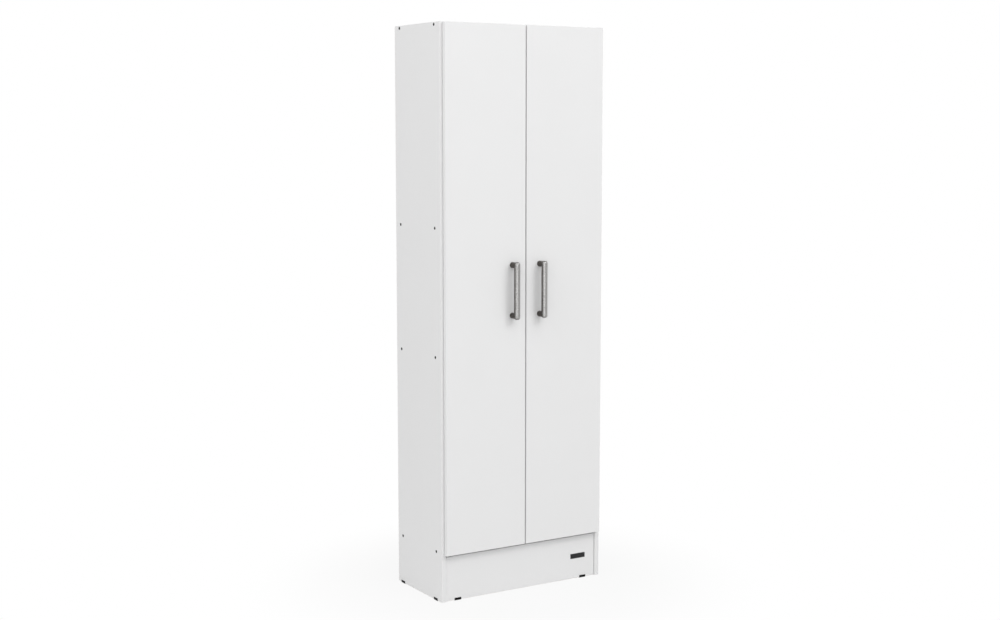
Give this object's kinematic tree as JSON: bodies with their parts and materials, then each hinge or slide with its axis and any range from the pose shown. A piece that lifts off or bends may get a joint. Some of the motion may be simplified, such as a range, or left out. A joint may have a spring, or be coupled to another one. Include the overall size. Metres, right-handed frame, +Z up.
{
  "type": "broom cupboard",
  "caption": "Tall white board cupboard on a set-back plinth, with hinged doors on concealed hinges, bar handles, side shelves and a full-height bay for brooms.",
  "frame": {"origin": "On the floor, under the middle of the whole object with its handles.", "axes": "+Z up, +Y towards the back, +X to the right seen from the front."},
  "size_m": [0.6022, 0.3472, 1.806],
  "materials": {
    "white_board": "white melamine facing on particle board, satin",
    "white_band": "white edge band, satin",
    "hardboard": "bare brown hardboard",
    "black_screw": "blackened steel",
    "bright_steel": "nickel-plated steel",
    "handle_metal": "satin grey metal",
    "black_plastic": "black moulded plastic",
    "dark_plate": "dark satin plate, bare",
    "white_plastic": "white moulded plastic",
    "magnet": "dark ferrite"
  },
  "bodies": {
    "carcass": {"back_nails": "bright_steel", "back_sheet_left": "hardboard", "back_sheet_right": "hardboard", "badge_plate": "dark_plate", "bottom_panel": "white_board", "carcass_edge_bands": "white_band", "catch_magnets": "magnet", "catch_screws": "bright_steel", "divider_panel": "white_board", "divider_screws": "black_screw", "hinge_arm_screws": "bright_steel", "hinge_plate_screws": "bright_steel", "left_bottom_hinge_arm": "bright_steel", "left_bottom_hinge_plate": "bright_steel", "left_catch_case": "white_plastic", "left_middle_hinge_arm": "bright_steel", "left_middle_hinge_plate": "bright_steel", "left_side_panel": "white_board", "left_side_screws": "black_screw", "left_top_hinge_arm": "bright_steel", "left_top_hinge_plate": "bright_steel", "lower_shelf": "white_board", "plinth_board": "white_board", "plinth_bracket_screws": "bright_steel", "plinth_brackets": "bright_steel", "plinth_glides": "black_plastic", "right_bottom_hinge_arm": "bright_steel", "right_bottom_hinge_plate": "bright_steel", "right_catch_case": "white_plastic", "right_middle_hinge_arm": "bright_steel", "right_middle_hinge_plate": "bright_steel", "right_side_panel": "white_board", "right_side_screws": "black_screw", "right_top_hinge_arm": "bright_steel", "right_top_hinge_plate": "bright_steel", "shelf_screws": "black_screw", "side_glides": "black_plastic", "top_panel": "white_board", "upper_shelf": "white_board"},
    "left_door": {"left_bottom_hinge_cup": "bright_steel", "left_catch_strike": "bright_steel", "left_door_edge_bands": "white_band", "left_door_panel": "white_board", "left_door_screws": "bright_steel", "left_handle": "handle_metal", "left_handle_screws": "bright_steel", "left_hinge_pins": "bright_steel", "left_middle_hinge_cup": "bright_steel", "left_top_hinge_cup": "bright_steel"},
    "right_door": {"right_bottom_hinge_cup": "bright_steel", "right_catch_strike": "bright_steel", "right_door_edge_bands": "white_band", "right_door_panel": "white_board", "right_door_screws": "bright_steel", "right_handle": "handle_metal", "right_handle_screws": "bright_steel", "right_hinge_pins": "bright_steel", "right_middle_hinge_cup": "bright_steel", "right_top_hinge_cup": "bright_steel"}
  },
  "joints": [
    {"name": "left_door_swing", "type": "hinge", "parent": "carcass", "child": "left_door", "pos_m": [-0.28553, -0.1301, 0.979], "axis": [0, 0, -1], "range_deg": [0, 95]},
    {"name": "right_door_swing", "type": "hinge", "parent": "carcass", "child": "right_door", "pos_m": [0.28553, -0.1301, 0.979], "axis": [0, 0, 1], "range_deg": [0, 95]}
  ]
}
